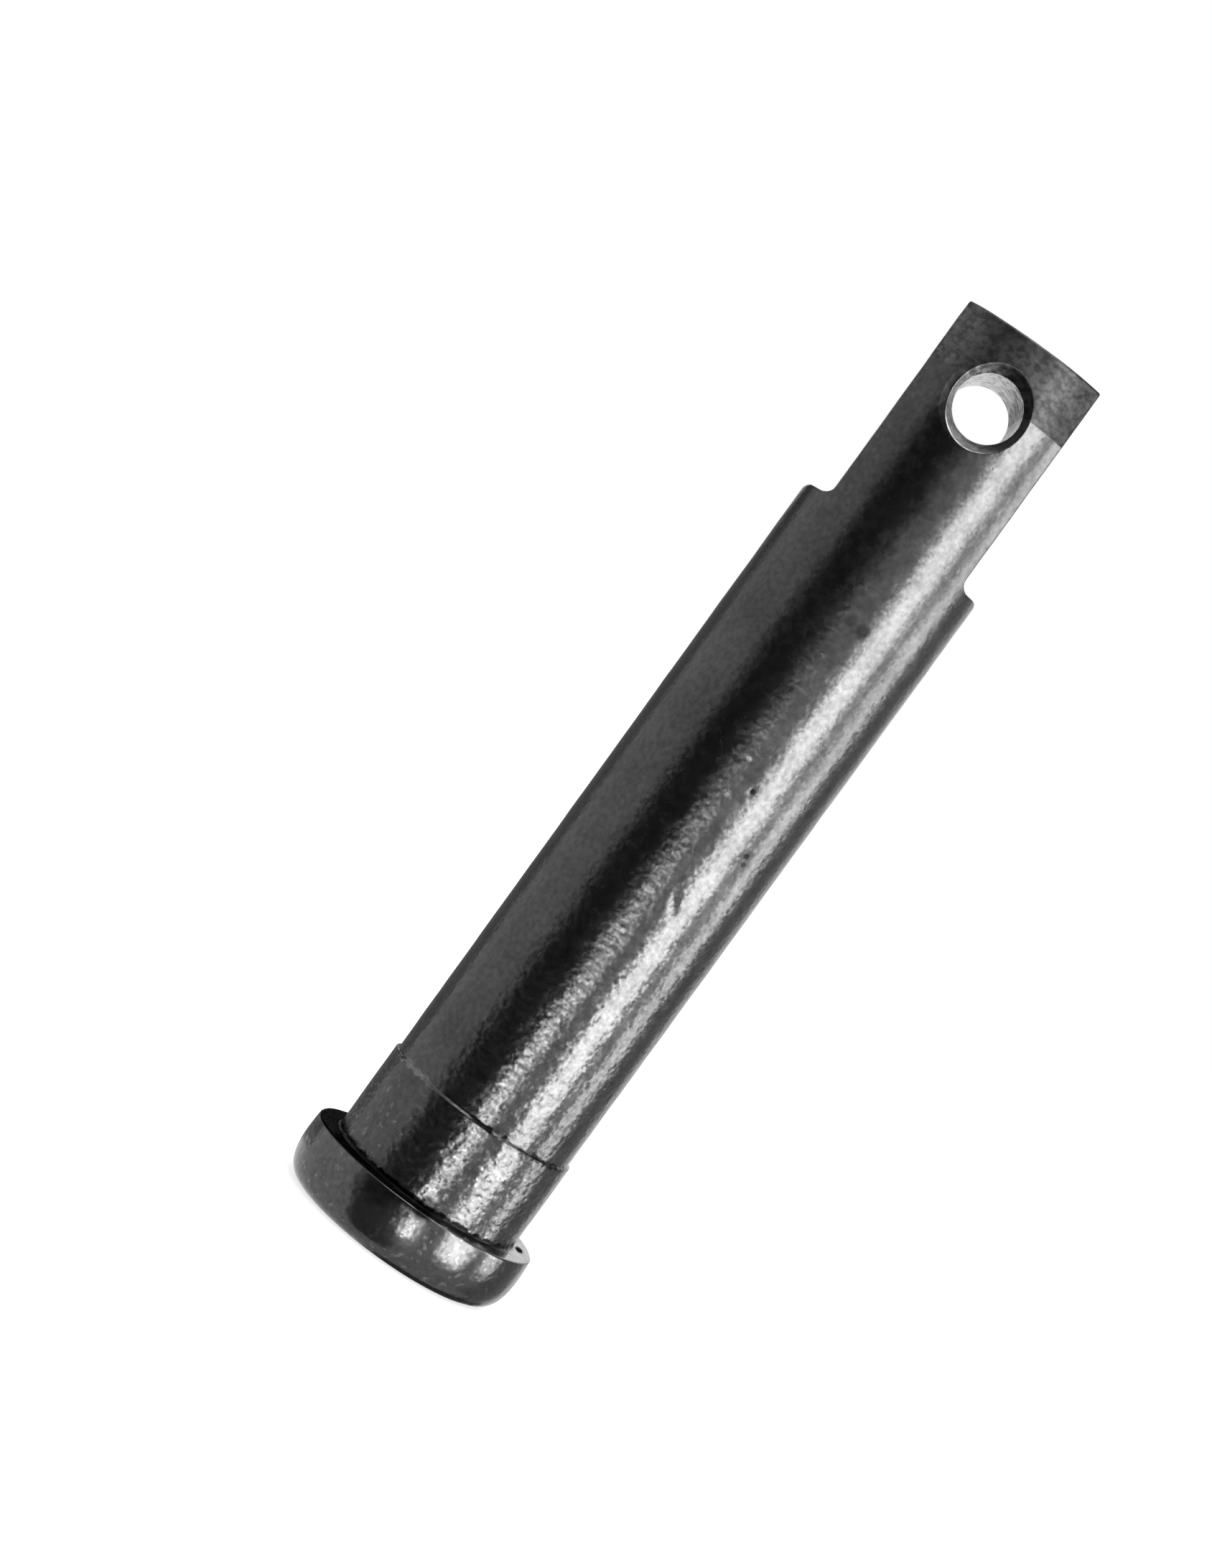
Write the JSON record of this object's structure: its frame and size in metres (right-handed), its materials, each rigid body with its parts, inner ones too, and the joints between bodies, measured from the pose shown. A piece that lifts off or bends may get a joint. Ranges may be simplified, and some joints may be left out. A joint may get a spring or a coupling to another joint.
{
  "type": "clevis pin",
  "caption": "Headed clevis pin with a thicker collar under its head, flats milled on its end, and a countersunk cross hole there for a split pin.",
  "frame": {"origin": "middle of the head's flat end, on the pin's axis", "axes": "+Z along the pin from head to tip; the cross hole runs along Y; the end's flats face +X and -X"},
  "size_m": [0.032, 0.032, 0.1334],
  "materials": {
    "black_steel": "black oxide on forged steel, lightly oiled"
  },
  "bodies": {
    "root": {"clevis_pin": "black_steel"}
  },
  "joints": []
}
